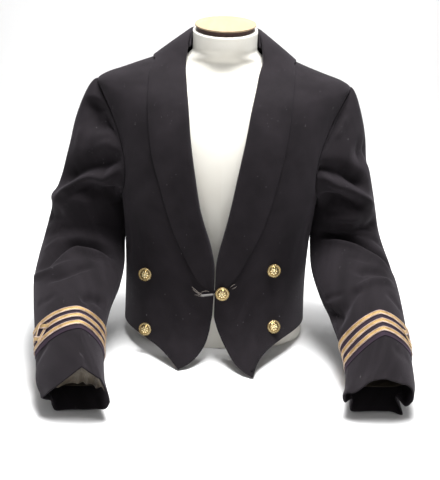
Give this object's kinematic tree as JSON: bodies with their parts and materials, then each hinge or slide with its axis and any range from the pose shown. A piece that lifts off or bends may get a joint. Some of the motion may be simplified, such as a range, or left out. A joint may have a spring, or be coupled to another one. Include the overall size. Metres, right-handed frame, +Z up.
{
  "type": "mess dress jacket on a dress form",
  "caption": "Waist-length mess dress jacket with a wide shawl collar, laced cuffs and gilt buttons, worn on a limbless jersey-covered dress form with a flat wooden neck cap.",
  "frame": {"origin": "middle of the dress form's flat underside, on the surface it stands on", "axes": "+Z up, the wearer faces -Y, and +X is towards the wearer's left"},
  "size_m": [0.5602, 0.4484, 0.4983],
  "materials": {
    "wool": "matte milled black wool",
    "lining": "brown twill sleeve lining",
    "purple_cloth": "dark purple cloth",
    "gold_lace": "woven gold wire lace",
    "gilt": "polished gilt",
    "link": "worn grey cord",
    "jersey": "cream knitted jersey",
    "cap_wood": "pale varnished wood",
    "spacer_wood": "dark stained wood"
  },
  "bodies": {
    "root": {"front_right": "wool", "side_body_right": "wool", "back_right": "wool", "shawl_collar_right": "wool", "top_sleeve_right": "wool", "under_sleeve_right": "wool", "braid_ground_right": "purple_cloth", "lace_upper_right": "gold_lace", "lace_lower_right": "gold_lace", "lace_middle_right": "gold_lace", "lace_diamond_right": "gold_lace", "sleeve_lining_right": "lining", "front_left": "wool", "side_body_left": "wool", "back_left": "wool", "shawl_collar_left": "wool", "top_sleeve_left": "wool", "under_sleeve_left": "wool", "braid_ground_left": "purple_cloth", "lace_upper_left": "gold_lace", "lace_lower_left": "gold_lace", "lace_middle_left": "gold_lace", "lace_diamond_left": "gold_lace", "sleeve_lining_left": "lining", "collar_stand": "wool", "button_upper_right": "gilt", "button_lower_right": "gilt", "button_upper_left": "gilt", "button_lower_left": "gilt", "button_link": "gilt", "link_bar": "link", "form_body": "jersey", "neck_spacer": "spacer_wood", "neck_cap": "cap_wood"}
  },
  "joints": []
}
